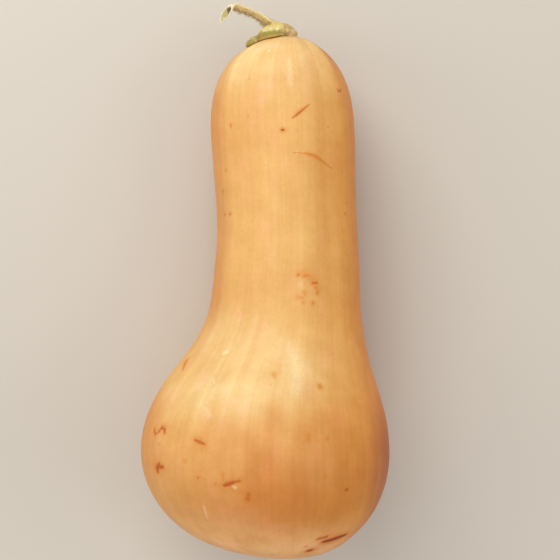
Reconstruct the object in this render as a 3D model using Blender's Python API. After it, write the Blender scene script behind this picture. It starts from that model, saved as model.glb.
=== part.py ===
"""Butternut squash lying on its side, in metres with +Z up.

The stem end points along +Y and the blossom end along -Y. The fruit rests on two small flat
spots, one under the bulb and one under the top of the neck. The stem is a second solid, seated
on the top of the neck with a hairline gap. The origin is the centre of the bounding box's base.
"""

import math

import bmesh
import bpy
import numpy as np
from mathutils import Vector
from mathutils.bvhtree import BVHTree

MM = 0.001
UPWARD = Vector((0, 0, 1))

# Rounds of the fruit, from the blossom end to the stem end, in millimetres:
# place along Y, radius, sideways place of the centre, height of the centre.
FRUIT_ROUNDS = (
    (-147.3, 0.0, 5.6, 64.5),
    (-145.8, 15.4, 4.6, 64.5),
    (-142.2, 28.4, 1.0, 64.5),
    (-136.0, 41.3, -3.1, 64.4),
    (-126.5, 52.8, -5.4, 64.3),
    (-109.5, 63.0, -7.0, 64.0),
    (-90.0, 66.3, -7.9, 63.4),
    (-71.0, 63.4, -7.3, 61.0),
    (-54.0, 56.2, -5.2, 58.7),
    (-37.0, 47.6, -1.0, 56.3),
    (-19.5, 41.8, 2.2, 53.8),
    (2.0, 39.6, 3.4, 50.8),
    (28.5, 38.3, 3.7, 46.9),
    (64.5, 39.0, 2.3, 41.8),
    (96.0, 39.1, 1.2, 37.4),
    (114.0, 34.1, 1.0, 36.2),
    (125.0, 26.1, 1.7, 36.2),
    (132.0, 15.8, 3.2, 36.6),
    (135.8, 0.0, 4.5, 37.0),
)
FRUIT_RINGS = 46
FRUIT_SIDES = 60
POLE_RING_SHARE = 0.35  # first and last ring, in ring spacings from the pole

FLUTES = 10
FLUTE_DEPTH_STEM_END = 0.40 * MM
FLUTE_DEPTH_BLOSSOM_END = 0.10 * MM
FLUTE_FADE_RADIUS = 20.0 * MM  # flutes die out on rounds smaller than this
GROUND_SOFTNESS = 1.2 * MM  # how gently the skin turns into a flat resting spot

BLOSSOM_DIMPLE_DEPTH = 2.2 * MM
BLOSSOM_DIMPLE_RADIUS = 13.0 * MM
BLOSSOM_SCAR_HEIGHT = 1.4 * MM
BLOSSOM_SCAR_RADIUS = 4.2 * MM
BLOSSOM_REACH = 0.3  # share of the profile that the blossom end's relief stays within

# The stem's seat on the top of the neck.
SEAT_X = -4.5 * MM
SEAT_Z = 34.0 * MM
SEAT_GAP = 0.55 * MM

# The stem's foot, laid on the fruit, in millimetres: lift off the skin, left and right end seen
# from above, half width upward, and depth of the five toes as a share.
FOOT_SECTIONS = (
    (0.55, -3.4, 3.4, 3.2, 0.00),
    (0.55, -8.0, 7.0, 6.9, 0.10),
    (0.55, -12.0, 10.4, 10.2, 0.20),
    (0.6, -14.7, 13.0, 12.4, 0.26),
    (1.1, -15.4, 13.7, 13.3, 0.26),
    (1.8, -15.3, 13.9, 13.2, 0.26),
    (2.5, -14.2, 13.7, 12.3, 0.24),
    (2.9, -12.0, 13.3, 10.9, 0.20),
)
FOOT_LIFT_TO_LEFT = 0.70  # the foot is thicker on the left, by this share
FOOT_LIFT_AT_TOES = 0.30  # and in the toes
# Sections of the knob and the shaft, in millimetres from the seat: left point and right point of
# the outline seen from above, height of the centre, and half the height. Then the lean away from
# upright in degrees, the depth of the five lobes, and how far it narrows to a point on the left.
SHAFT_SECTIONS = (
    (-9.0, 1.6, 13.7, 4.3, 0.2, 9.4, 0, 0.16, 0),
    (-7.8, 2.9, 12.9, 5.6, 0.5, 8.6, 0, 0.14, 0),
    (-6.4, 4.2, 11.4, 6.7, 1.0, 7.6, 0, 0.12, 0),
    (-5.1, 5.6, 8.9, 7.8, 1.6, 6.2, 0, 0.11, 0),
    (-4.3, 7.0, 5.4, 8.8, 2.2, 4.9, 0, 0.10, 0),
    (-4.6, 8.2, 0.8, 10.3, 2.9, 3.8, 0, 0.10, 0),
    (-6.8, 9.7, -3.8, 12.9, 3.7, 2.8, 0, 0.10, 0),
    (-9.9, 11.5, -8.2, 14.9, 4.5, 2.3, 0, 0.10, 0),
    (-13.2, 13.4, -11.9, 16.5, 5.4, 2.0, 0, 0.10, 0),
    (-16.7, 15.2, -15.6, 18.1, 6.3, 1.8, 0, 0.10, 0),
    (-19.2, 16.3, -18.4, 19.2, 6.9, 1.8, 3, 0.08, 0),
    (-21.6, 16.3, -20.0, 20.0, 7.3, 1.9, 12, 0.05, 0.12),
    (-24.8, 14.7, -21.3, 20.4, 7.5, 2.1, 25, 0.02, 0.30),
    (-29.1, 10.8, -22.6, 20.2, 7.7, 2.3, 38, 0.00, 0.45),
)
SHAFT_RINGS = 27
STEM_SIDES = 50
STEM_LOBES = 5
LOBE_PHASE = math.radians(30)
# Inside the slanting cut at the stem's tip: share of the outline, and depth at its upper end.
CUT_FLOOR = ((0.80, 0.1 * MM), (0.60, 0.8 * MM), (0.3, 1.1 * MM))

RIND_COLOUR = (0.80, 0.47, 0.17, 1.0)
STEM_COLOUR = (0.52, 0.42, 0.17, 1.0)


def clear_scene():
    for obj in list(bpy.data.objects):
        bpy.data.objects.remove(obj, do_unlink=True)


def smooth_through(places, values, at):
    """The natural cubic spline through values at places, read at the places in at."""
    places = np.asarray(places, float)
    values = np.asarray(values, float)
    gaps = np.diff(places)
    size = len(places)
    system = np.eye(size)
    right = np.zeros_like(values)
    for i in range(1, size - 1):
        system[i, i - 1 : i + 2] = gaps[i - 1], 2 * (gaps[i - 1] + gaps[i]), gaps[i]
        right[i] = 3 * (
            (values[i + 1] - values[i]) / gaps[i] - (values[i] - values[i - 1]) / gaps[i - 1]
        )
    bend = np.linalg.solve(system, right)
    k = np.clip(np.searchsorted(places, at) - 1, 0, size - 2)
    step = (at - places[k])[:, None]
    gap = gaps[k][:, None]
    slope = (values[k + 1] - values[k]) / gap - gap * (2 * bend[k] + bend[k + 1]) / 3
    return values[k] + step * (slope + step * (bend[k] + step * (bend[k + 1] - bend[k]) / (3 * gap)))


def fruit_rounds(shares):
    """(place, radius, sideways, height) in metres at shares of the way along the fruit's profile.

    The rounds are mirrored past both poles, so the ends close as domes and not as points.
    """
    rounds = np.array(FRUIT_ROUNDS) * MM
    mirrored = rounds * (1, -1, 1, 1)
    line = np.vstack((mirrored[3:0:-1], rounds, mirrored[-2:-5:-1]))
    places = np.concatenate(((0,), np.cumsum(np.hypot(*np.diff(line[:, :2], axis=0).T))))
    first, last = places[3], places[-4]
    return smooth_through(places, line, first + (last - first) * np.asarray(shares))


def fluted(radius, share, angle):
    """The radius with the fruit's shallow lengthwise flutes."""
    depth = FLUTE_DEPTH_BLOSSOM_END + (FLUTE_DEPTH_STEM_END - FLUTE_DEPTH_BLOSSOM_END) * share
    fade = min(1.0, radius / FLUTE_FADE_RADIUS)
    return radius + depth * fade * math.cos(FLUTES * angle)


def blossom_relief(share, radius):
    """How far the skin moves along +Y: the dimple at the blossom end, less its corky scar."""
    if share > BLOSSOM_REACH:
        return 0.0
    dimple = BLOSSOM_DIMPLE_DEPTH * math.exp(-((radius / BLOSSOM_DIMPLE_RADIUS) ** 2))
    scar = BLOSSOM_SCAR_HEIGHT * math.exp(-((radius / BLOSSOM_SCAR_RADIUS) ** 4))
    return dimple - scar


def grounded(height):
    """The height, turned smoothly into a flat spot at zero where it would be below it."""
    if height > GROUND_SOFTNESS:
        return height
    return max(0.0, height + GROUND_SOFTNESS) ** 2 / (4 * GROUND_SOFTNESS)


def skin_point(share, around, angle):
    """A point of the skin on the round around, at an angle from +X towards +Z."""
    place, radius, sideways, height = around
    r = fluted(radius, share, angle)
    return Vector(
        (
            sideways + r * math.cos(angle),
            place + blossom_relief(share, radius),
            grounded(height + r * math.sin(angle)),
        )
    )


def lofted(name, sides, rings, first_tip=None, last_tip=None):
    """A closed mesh through rings, each a function from angle to point.

    One circle is extruded from ring to ring. The two open ends are filled and their middles
    are put at the tips.
    """
    bm = bmesh.new()
    angle = bm.verts.layers.float.new("angle")
    loop = bmesh.ops.create_circle(bm, segments=sides, radius=1.0)["verts"]
    edges = bm.edges[:]
    for vert in loop:
        vert[angle] = math.atan2(vert.co.y, vert.co.x)
    for number, ring in enumerate(rings):
        if number:
            made = bmesh.ops.extrude_edge_only(bm, edges=edges)["geom"]
            loop = [part for part in made if isinstance(part, bmesh.types.BMVert)]
            fresh = set(loop)
            edges = [
                part
                for part in made
                if isinstance(part, bmesh.types.BMEdge) and fresh.issuperset(part.verts)
            ]
        for vert in loop:
            vert.co = ring(vert[angle])
    holes = [edge for edge in bm.edges if edge.is_boundary]
    caps = bmesh.ops.holes_fill(bm, edges=holes, sides=0)["faces"]
    middles = bmesh.ops.poke(bm, faces=caps)["verts"]
    for tip in (first_tip, last_tip):
        if tip is not None:
            min(middles, key=lambda vert: (vert.co - tip).length).co = tip
    bmesh.ops.recalc_face_normals(bm, faces=bm.faces)
    mesh = bpy.data.meshes.new(name)
    bm.to_mesh(mesh)
    bm.free()
    return mesh


def fruit_mesh():
    inset = POLE_RING_SHARE / FRUIT_RINGS
    shares = np.linspace(inset, 1 - inset, FRUIT_RINGS)
    rounds = fruit_rounds(shares)
    poles = fruit_rounds((0.0, 1.0))
    rings = [
        lambda angle, share=share, around=around: skin_point(share, around, angle)
        for share, around in zip(shares, rounds)
    ]
    return lofted(
        "fruit",
        FRUIT_SIDES,
        rings,
        first_tip=skin_point(0.0, poles[0], 0.0),
        last_tip=skin_point(1.0, poles[1], 0.0),
    )


class Seat:
    """Where the stem meets the fruit, and how to lay a point onto the fruit's skin there."""

    REACH = 40 * MM

    def __init__(self, fruit):
        self.skin = BVHTree.FromPolygons(
            [vert.co for vert in fruit.vertices], [poly.vertices for poly in fruit.polygons]
        )
        above = Vector((SEAT_X, FRUIT_ROUNDS[-1][0] * MM + self.REACH, SEAT_Z))
        self.point, facet_facing, *_ = self.skin.ray_cast(above, Vector((0, -1, 0)))
        self.facing = facet_facing.normalized()

    def laid(self, point, lift):
        """The point moved along the seat's facing onto the skin, and lifted off it."""
        hit, *_ = self.skin.ray_cast(point + self.facing * self.REACH, -self.facing)
        return hit + self.facing * lift


def toe_crest(angle):
    """1 on the middle of each of the stem's five lobes, 0 in the grooves between them."""
    return 0.5 + 0.5 * math.cos(STEM_LOBES * (angle - LOBE_PHASE))


def lobed(angle, depth):
    """Radius share of a round with the stem's lobes."""
    return 1 + depth * (toe_crest(angle) - 0.6)


def foot_ring(seat, section):
    """An outline of the foot, laid on the fruit, as a function of the angle from the left upward."""
    lift, left, right, half_up, toes = section
    up = (UPWARD - seat.facing * UPWARD.dot(seat.facing)).normalized()
    across = up.cross(seat.facing)
    middle = seat.point - across * (left + right) / 2 * MM
    half_across = (right - left) / 2

    def ring(angle):
        offset = across * half_across * math.cos(angle) + up * half_up * math.sin(angle)
        to_left = FOOT_LIFT_TO_LEFT * math.cos(angle)
        at_toes = FOOT_LIFT_AT_TOES * (toe_crest(angle) - 0.5)
        thickness = max(0.0, lift * MM - SEAT_GAP) * (1 + to_left + at_toes)
        return seat.laid(middle + offset * lobed(angle, toes) * MM, SEAT_GAP + thickness)

    return ring


def shaft_ring(seat, section, inside=1.0, sink=0.0):
    """An outline of the knob or the shaft as a function of the angle.

    Drawn in and sunk, it makes the hollow of the slanting cut, which is deepest on the right.
    """
    left_x, left_y, right_x, right_y, height, half_height, lean, lobes, pointed = section
    left = Vector((left_x, left_y, height)) * MM
    right = Vector((right_x, right_y, height)) * MM
    across = (left - right) / 2
    ahead = across.cross(UPWARD).normalized()
    lean = math.radians(lean)
    up = UPWARD * math.cos(lean) - ahead * math.sin(lean)
    centre = seat.point + (left + right) / 2
    inward = up.cross(across).normalized() * sink

    def ring(angle):
        reach = math.cos(angle)
        rise = math.sin(angle) * (1 - pointed * max(0.0, reach)) * half_height * MM
        offset = (across * reach + up * rise) * lobed(angle, lobes) * inside
        return centre + offset + inward * (1 - reach * inside) / 2

    return ring


def shaft_sections():
    """The knob's and the shaft's sections, with more of them in between."""
    table = np.array(SHAFT_SECTIONS, float)
    middles = np.column_stack(((table[:, 0:2] + table[:, 2:4]) / 2, table[:, 4]))
    along = np.concatenate(((0,), np.cumsum(np.linalg.norm(np.diff(middles, axis=0), axis=1))))
    numbers = np.linspace(0, len(table) - 1, SHAFT_RINGS)
    return smooth_through(along, table, np.interp(numbers, range(len(table)), along))


def stem_rings(seat):
    rings = [foot_ring(seat, section) for section in FOOT_SECTIONS]
    rings += [shaft_ring(seat, section) for section in shaft_sections()]
    rings += [shaft_ring(seat, SHAFT_SECTIONS[-1], inside, sink) for inside, sink in CUT_FLOOR]
    return rings


def stem_mesh(fruit):
    seat = Seat(fruit)
    return lofted("stem", STEM_SIDES, stem_rings(seat), first_tip=seat.laid(seat.point, SEAT_GAP))


def material(name, colour, roughness):
    made = bpy.data.materials.new(name)
    made.use_nodes = True
    shader = made.node_tree.nodes["Principled BSDF"]
    shader.inputs["Base Color"].default_value = colour
    shader.inputs["Roughness"].default_value = roughness
    shader.inputs["Metallic"].default_value = 0.0
    return made


def placed(mesh, finish, collection, carrier):
    mesh.materials.append(finish)
    mesh.shade_smooth()
    obj = bpy.data.objects.new(mesh.name, mesh)
    obj.parent = carrier
    collection.objects.link(obj)
    return obj


def base_centre(meshes):
    """The centre of the base of the meshes' common bounding box."""
    points = np.array([vert.co for mesh in meshes for vert in mesh.vertices])
    low, high = points.min(axis=0), points.max(axis=0)
    return Vector(((low[0] + high[0]) / 2, (low[1] + high[1]) / 2, low[2]))


def main():
    clear_scene()
    collection = bpy.data.collections.new("butternut_squash")
    bpy.context.scene.collection.children.link(collection)
    carrier = bpy.data.objects.new("squash_origin", None)
    collection.objects.link(carrier)

    fruit = fruit_mesh()
    stem = stem_mesh(fruit)
    carrier.location = -base_centre((fruit, stem))
    placed(fruit, material("rind", RIND_COLOUR, 0.42), collection, carrier)
    placed(stem, material("dry_stem", STEM_COLOUR, 0.75), collection, carrier)
    bpy.context.view_layer.update()


main()
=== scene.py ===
"""A butternut squash lying down, with its dry stem, on a plain pale floor.

The solids give the places and the sizes. This script lays a fine skin and a fine stem over
them, gives both their finishes, and sets the floor, the light and the camera.
"""

import math
import random

import bmesh
import bpy
import numpy as np
from bpy.props import FloatProperty, FloatVectorProperty, IntProperty, PointerProperty
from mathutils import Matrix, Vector, noise
from mathutils.bvhtree import BVHTree
from mathutils.kdtree import KDTree


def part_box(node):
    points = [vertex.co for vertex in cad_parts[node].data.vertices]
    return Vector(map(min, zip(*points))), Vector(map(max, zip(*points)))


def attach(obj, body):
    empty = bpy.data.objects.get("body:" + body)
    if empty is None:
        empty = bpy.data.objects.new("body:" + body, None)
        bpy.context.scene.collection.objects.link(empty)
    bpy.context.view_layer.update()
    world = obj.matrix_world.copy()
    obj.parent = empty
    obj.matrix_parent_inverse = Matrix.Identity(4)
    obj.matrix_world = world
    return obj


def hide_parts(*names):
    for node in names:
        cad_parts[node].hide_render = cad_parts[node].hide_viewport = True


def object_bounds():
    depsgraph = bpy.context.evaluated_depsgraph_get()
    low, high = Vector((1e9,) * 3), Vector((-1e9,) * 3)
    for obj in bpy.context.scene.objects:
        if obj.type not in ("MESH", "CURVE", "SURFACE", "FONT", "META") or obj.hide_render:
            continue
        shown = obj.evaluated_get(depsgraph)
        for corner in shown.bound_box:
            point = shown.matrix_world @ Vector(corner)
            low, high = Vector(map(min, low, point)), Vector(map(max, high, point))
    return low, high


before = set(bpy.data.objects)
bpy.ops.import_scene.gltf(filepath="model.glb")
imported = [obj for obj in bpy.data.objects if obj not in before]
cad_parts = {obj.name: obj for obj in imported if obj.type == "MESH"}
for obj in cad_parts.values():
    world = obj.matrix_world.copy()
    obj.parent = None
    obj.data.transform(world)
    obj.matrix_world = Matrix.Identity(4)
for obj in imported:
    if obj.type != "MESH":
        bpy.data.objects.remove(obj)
CAD_BOX = [list(corner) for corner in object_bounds()]

bl_info = {
    "name": "Butternut Squash",
    "version": (1, 0, 0),
    "blender": (4, 5, 0),
    "location": "3D View > Sidebar > Squash",
    "description": "Builds the skin, the stem and the setting of a butternut squash",
    "category": "Add Mesh",
}

MM = 0.001
UPWARD = Vector((0, 0, 1))
# Keeps a stroke of a single point from dividing by zero.
SMALLEST_AREA = 1e-12

# The fruit is a row of rounds along Y, from the blossom end to the stem end:
# place along Y, radius, sideways centre and height of the centre, in millimetres.
FRUIT_ROUNDS = (
    (-147.3, 0.0, 5.6, 64.5),
    (-145.8, 15.4, 4.6, 64.5),
    (-142.2, 28.4, 1.0, 64.5),
    (-136.0, 41.3, -3.1, 64.4),
    (-126.5, 52.8, -5.4, 64.3),
    (-109.5, 63.0, -7.0, 64.0),
    (-90.0, 66.3, -7.9, 63.4),
    (-71.0, 63.4, -7.3, 61.0),
    (-54.0, 56.2, -5.2, 58.7),
    (-37.0, 47.6, -1.0, 56.3),
    (-19.5, 41.8, 2.2, 53.8),
    (2.0, 39.6, 3.4, 50.8),
    (28.5, 38.3, 3.7, 46.9),
    (64.5, 39.0, 2.3, 41.8),
    (96.0, 39.1, 1.2, 37.4),
    (114.0, 34.1, 1.0, 36.2),
    (125.0, 26.1, 1.7, 36.2),
    (132.0, 15.8, 3.2, 36.6),
    (135.8, 0.0, 4.5, 37.0),
)
SKIN_RINGS = 224
SKIN_SIDES = 248
POLE_RING_SHARE = 0.35
PROFILE_STEPS = 99
FLUTES = 10
FLUTE_DEPTH_STEM_END = 0.40 * MM
FLUTE_DEPTH_BLOSSOM_END = 0.10 * MM
FLUTE_FADE_RADIUS = 20.0 * MM
GROUND_SOFTNESS = 1.2 * MM
BLOSSOM_DIMPLE_DEPTH = 2.2 * MM
BLOSSOM_DIMPLE_RADIUS = 13.0 * MM
BLOSSOM_SCAR_HEIGHT = 1.4 * MM
BLOSSOM_SCAR_RADIUS = 4.2 * MM
BLOSSOM_REACH = 0.3
SWELL_LENGTH = 34.0 * MM
RIPPLES_AROUND = 3.2
RIPPLES_ALONG = 2.5
RIPPLE_DEPTH = 0.16 * MM

# Where the stem sits: sideways and up, on the side that faces +Y.
SEAT_X = 3.34 * MM
SEAT_Z = 34.0 * MM
SEAT_GAP = 0.15 * MM
# The stem's foot: lift off the skin, left end, right end, half width upward and how deep the
# toes are cut, in millimetres and as a share.
FOOT_SECTIONS = (
    (0.55, -3.4, 3.4, 3.2, 0.00),
    (0.55, -8.0, 7.0, 6.9, 0.10),
    (0.55, -12.0, 10.4, 10.2, 0.20),
    (0.6, -14.7, 13.0, 12.4, 0.26),
    (1.1, -15.4, 13.7, 13.3, 0.26),
    (1.8, -15.3, 13.9, 13.2, 0.26),
    (2.5, -14.2, 13.7, 12.3, 0.24),
    (2.9, -12.0, 13.3, 10.9, 0.20),
)
# The lift at the seam, how much thicker the foot is to the left and at its toes, and its fine
# wrinkles.
FOOT_BASE = 0.55 * MM
FOOT_LIFT_TO_LEFT = 0.70
FOOT_LIFT_AT_TOES = 0.30
FOOT_WRINKLES = 5.0
FOOT_WRINKLES_UP = 0.2
FOOT_WRINKLE_DEPTH = 0.05
# The knob and the shaft: the left and the right edge's x and y from the seat, the height of
# the centre, half the thickness, the lean in degrees, the lobes' depth and how pointed.
SHAFT_SECTIONS = (
    (-8.6, 2.4, 13.9, 3.6, 0.2, 9.4, 0, 0.16, 0),
    (-7.4, 4.0, 13.2, 5.6, 0.5, 8.6, 0, 0.14, 0),
    (-6.3, 5.5, 11.8, 6.9, 1.0, 7.6, 0, 0.12, 0),
    (-4.9, 6.7, 9.5, 8.5, 1.6, 6.2, 0, 0.11, 0),
    (-3.7, 7.7, 5.6, 9.5, 2.2, 4.9, 0, 0.10, 0),
    (-4.5, 8.2, 1.1, 10.9, 2.9, 3.8, 0, 0.10, 0),
    (-6.4, 9.5, -3.6, 13.6, 3.7, 2.8, 0, 0.10, 0),
    (-9.7, 11.7, -8.2, 15.7, 4.5, 2.3, 0, 0.10, 0),
    (-13.3, 13.3, -12.0, 17.0, 5.4, 2.1, 0, 0.10, 0),
    (-16.8, 14.4, -15.5, 18.4, 6.3, 2.0, 0, 0.10, 0),
    (-19.3, 15.3, -18.0, 19.2, 6.9, 2.0, 3, 0.08, 0),
    (-21.2, 15.9, -20.0, 19.5, 7.3, 2.1, 14, 0.05, 0.12),
    (-24.2, 13.5, -21.5, 19.0, 7.5, 2.6, 32, 0.02, 0.26),
    (-28.9, 8.2, -22.7, 18.5, 7.7, 3.4, 46, 0.00, 0.74),
)
FOOT_RINGS = 36
SHAFT_RINGS = 180
STEM_SIDES = 144
STEM_LOBES = 5
LOBE_PHASE = math.radians(30)
LOBE_MEAN = 0.6
# The torn end: share of the outline and the depth of the hollow at its upper end.
CUT_FLOOR = (
    (0.94, -0.12 * MM),
    (0.86, 0.15 * MM),
    (0.76, 0.6 * MM),
    (0.60, 1.0 * MM),
    (0.42, 1.5 * MM),
    (0.22, 1.8 * MM),
)
# The relief of the stem: fibres per turn and per section, the size of lumps and pits, and how
# deep each is. The fold is on the left under the knob, the valley along the foot.
FIBRES = (4.5, 0.22)
FINE_FIBRES = (11.0, 0.5)
LUMP_SIZE = 1.5 * MM
PIT_SIZE = 0.7 * MM
PIT_DEPTH = 0.16 * MM
ROUGH_HEIGHT = 0.50 * MM
FOLD_SECTION = 2.3
FOLD_WIDTH = 0.45
FOLD_DEPTH = 0.55 * MM
VALLEY_X = -3.6 * MM
VALLEY_WIDTH = 0.9 * MM
VALLEY_DEPTH = 0.5 * MM
# The torn rim: the way its points run, how long they are, and where it is in sections.
FRAY_WAY = Vector((-1.0, -0.35, 0.15)).normalized()
FRAY_LENGTH = 0.75 * MM
RIM_SECTION = 0.4
RIM_WIDTH = 0.7

# The camera looks straight down; its place and its near limit are in metres.
CAMERA_PLACE = Vector((7.84, -4.17, 690.0)) * MM
LENS = 50.0
SENSOR = 24.0
PICTURE_SIDE = 560
NEAREST_SEEN = 0.01

# Marks on the side that faces the camera, placed in pixels of the 560 by 560 view and cast
# onto the skin. Each stroke is its strength and a run of points: x, y and half width in
# millimetres.
BROWN_STROKES = (
    (
        0.92,
        ((292.0, 118.4, 0.14), (297.5, 114.0, 0.46), (303.5, 109.2, 0.38), (309.5, 104.4, 0.14)),
    ),
    (1.15, ((282.0, 129.8, 0.40), (283.6, 129.8, 0.36))),
    (0.90, ((337.9, 89.0, 0.28), (338.4, 91.0, 0.34), (340.4, 91.2, 0.28), (340.8, 89.4, 0.28))),
    (0.85, ((230.4, 124.6, 0.34), (230.8, 126.8, 0.30))),
    (0.60, ((247.6, 116.0, 0.34),)),
    (0.85, ((225.8, 170.5, 0.36),)),
    (0.85, ((222.8, 190.2, 0.34), (222.9, 193.0, 0.30))),
    (0.75, ((222.8, 210.0, 0.32),)),
    (1.00, ((224.9, 214.5, 0.40),)),
    (1.00, ((229.9, 214.1, 0.40),)),
    (0.75, ((346.4, 203.0, 0.32),)),
    (0.90, ((345.1, 213.7, 0.38),)),
    (0.58, ((298.2, 274.8, 0.50),)),
    (0.70, ((313.0, 282.9, 0.46), (316.6, 282.8, 0.54))),
    (0.78, ((154.6, 428.2, 0.60), (154.2, 431.2, 0.74), (155.4, 434.4, 0.66))),
    (0.70, ((155.6, 434.0, 0.50), (158.4, 431.8, 0.60))),
    (
        0.84,
        ((158.4, 431.8, 0.60), (161.8, 427.2, 0.80), (164.4, 429.4, 0.86), (164.4, 433.0, 0.54)),
    ),
    (0.84, ((194.8, 440.0, 0.60), (199.4, 441.7, 0.82), (204.2, 444.2, 0.50))),
    (1.00, ((158.8, 464.2, 0.80), (157.0, 468.2, 1.35), (157.6, 471.6, 0.80))),
    (0.95, ((158.6, 466.4, 1.25), (162.8, 467.2, 0.70))),
    (0.70, ((198.0, 478.0, 0.62),)),
    (1.00, ((224.5, 485.4, 0.66), (229.0, 484.0, 0.80), (233.5, 482.2, 0.62))),
    (0.85, ((234.0, 482.0, 0.52), (239.6, 481.2, 0.60))),
    (0.65, ((215.4, 484.3, 0.60),)),
    (0.72, ((248.8, 494.4, 1.00), (247.6, 499.4, 1.20))),
    (0.84, ((345.8, 490.2, 0.74), (347.6, 489.6, 0.66))),
    (0.85, ((318.2, 539.2, 0.90), (327.0, 536.8, 0.90))),
    (
        1.30,
        ((324.0, 541.8, 0.95), (332.0, 539.8, 1.35), (339.0, 537.4, 1.20), (345.6, 535.0, 0.75)),
    ),
    (1.45, ((309.2, 550.8, 1.00), (310.8, 550.4, 0.95))),
    (0.75, ((305.6, 546.7, 0.62),)),
)
RUST_STROKES = (
    (
        0.90,
        (
            (293.0, 152.5, 0.14),
            (301.0, 152.8, 0.24),
            (306.0, 153.3, 0.44),
            (312.0, 154.8, 0.68),
            (317.5, 157.4, 0.74),
            (322.6, 161.6, 0.48),
            (328.2, 166.0, 0.26),
            (333.0, 169.0, 0.14),
        ),
    ),
    (0.70, ((249.4, 79.0, 0.50),)),
    (0.55, ((328.0, 127.0, 0.60),)),
    (0.34, ((336.8, 142.0, 1.00), (337.2, 146.0, 0.80))),
    (0.34, ((336.4, 157.0, 0.80), (340.8, 165.0, 1.00))),
    (0.40, ((342.6, 134.6, 0.70),)),
    (0.44, ((296.6, 130.4, 0.70),)),
    (0.36, ((331.0, 217.0, 0.70),)),
    (0.52, ((302.0, 272.6, 2.0), (310.0, 276.4, 2.6), (316.0, 284.0, 2.1), (317.4, 292.0, 1.5))),
    (0.90, ((297.8, 275.2, 0.62), (298.8, 274.4, 0.56))),
    (0.84, ((303.2, 276.2, 0.60), (306.0, 275.4, 0.72), (308.2, 275.8, 0.50))),
    (0.95, ((312.6, 283.0, 0.72), (316.6, 282.8, 0.80))),
    (0.84, ((314.8, 287.4, 0.50), (317.0, 287.4, 0.46))),
    (0.86, ((317.4, 291.6, 0.66), (316.8, 293.4, 0.60))),
    (0.55, ((298.6, 297.0, 1.2), (302.6, 298.0, 1.0))),
    (0.62, ((304.6, 293.0, 1.1),)),
    (0.70, ((312.6, 303.0, 1.0),)),
    (0.62, ((303.2, 302.4, 1.0),)),
    (1.00, ((185.9, 361.4, 1.45), (185.0, 364.2, 1.20), (183.2, 369.6, 0.60))),
    (0.58, ((273.4, 374.0, 1.20), (274.2, 377.0, 0.80))),
    (0.80, ((319.8, 386.2, 1.25),)),
    (0.62, ((222.8, 474.0, 0.80), (223.2, 481.0, 0.80))),
    (0.62, ((308.0, 434.8, 1.10), (308.2, 440.0, 1.00))),
    (0.70, ((327.0, 438.8, 0.90),)),
    (0.62, ((324.6, 476.4, 0.90),)),
    (0.66, ((377.0, 450.5, 0.90),)),
    (0.62, ((315.0, 510.8, 0.90),)),
    (0.60, ((158.6, 444.0, 0.80),)),
    (0.58, ((184.6, 460.6, 1.20),)),
    (0.55, ((240.0, 492.0, 1.40),)),
)
# Pale flecks and bleached streaks; the soft streaks along the neck's top are painted highlights.
FLECK_AND_HIGHLIGHT_STROKES = (
    (0.62, ((291.0, 350.0, 4.0), (298.0, 366.0, 5.0), (298.0, 392.0, 3.6))),
    (0.50, ((208.0, 376.0, 3.6), (214.0, 392.0, 3.0))),
    (0.55, ((202.0, 404.0, 3.2), (210.0, 416.0, 2.6))),
    # Painted highlights: soft pale streaks along the neck's top.
    (0.62, ((288.8, 60.0, 1.8), (289.6, 70.0, 2.6), (290.2, 84.0, 1.8))),
    (0.40, ((245.0, 62.0, 1.5), (243.6, 72.0, 1.7), (242.8, 84.0, 1.5))),
    (0.45, ((268.0, 46.0, 1.5), (268.6, 66.0, 1.7), (269.4, 88.0, 1.4))),
    (0.90, ((268.9, 50.5, 0.70),)),
    (0.95, ((297.5, 152.8, 0.50),)),
    (0.95, ((303.2, 152.9, 0.50),)),
    (0.52, ((300.5, 283.5, 1.5), (302.4, 287.0, 1.3))),
    (1.00, ((223.2, 353.4, 0.62), (227.8, 351.6, 0.66))),
    (0.62, ((213.5, 380.2, 1.00), (214.4, 384.0, 0.90))),
    (0.60, ((203.0, 406.5, 1.40), (209.0, 412.5, 1.30))),
    (0.56, ((212.5, 397.5, 1.30),)),
    (0.95, ((233.0, 486.4, 0.56), (235.2, 487.4, 0.72))),
    (0.62, ((203.8, 506.4, 0.66), (205.2, 511.0, 0.90), (207.0, 517.6, 0.60))),
)
# Marks where the camera doesn't see: share of the way along from the blossom end, degrees
# round from +X upward, half width in millimetres.
HIDDEN_BROWN_STROKES = (
    (0.95, ((0.30, 200.0, 0.5), (0.31, 204.0, 0.7), (0.325, 206.0, 0.4))),
    (0.90, ((0.22, 318.0, 0.7),)),
    (0.90, ((0.26, 352.0, 0.6), (0.27, 354.5, 0.5))),
    (0.95, ((0.62, 345.0, 0.4), (0.64, 343.0, 0.6), (0.66, 342.5, 0.3))),
    (0.80, ((0.74, 196.0, 0.5),)),
    (0.90, ((0.80, 215.0, 0.6), (0.81, 219.0, 0.4))),
    (0.90, ((0.14, 235.0, 0.6),)),
    (0.90, ((0.10, 340.0, 0.6), (0.11, 330.0, 0.5))),
    (0.95, ((0.07, 215.0, 0.7),)),
    (0.85, ((0.55, 240.0, 0.6),)),
    (0.90, ((0.36, 283.0, 0.5), (0.375, 287.0, 0.7), (0.38, 291.0, 0.5))),
)
HIDDEN_RUST_STROKES = (
    (0.75, ((0.36, 338.0, 1.2), (0.38, 336.0, 1.5))),
    (0.75, ((0.18, 190.0, 1.2),)),
    (0.95, ((0.70, 300.0, 0.8), (0.73, 302.0, 1.0), (0.75, 305.0, 0.5))),
    (0.75, ((0.88, 330.0, 1.0),)),
    (0.90, ((0.09, 300.0, 0.9), (0.10, 310.0, 0.7))),
    (0.70, ((0.48, 205.0, 1.0),)),
    (0.65, ((0.24, 262.0, 2.0), (0.26, 266.0, 2.4))),
)
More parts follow.
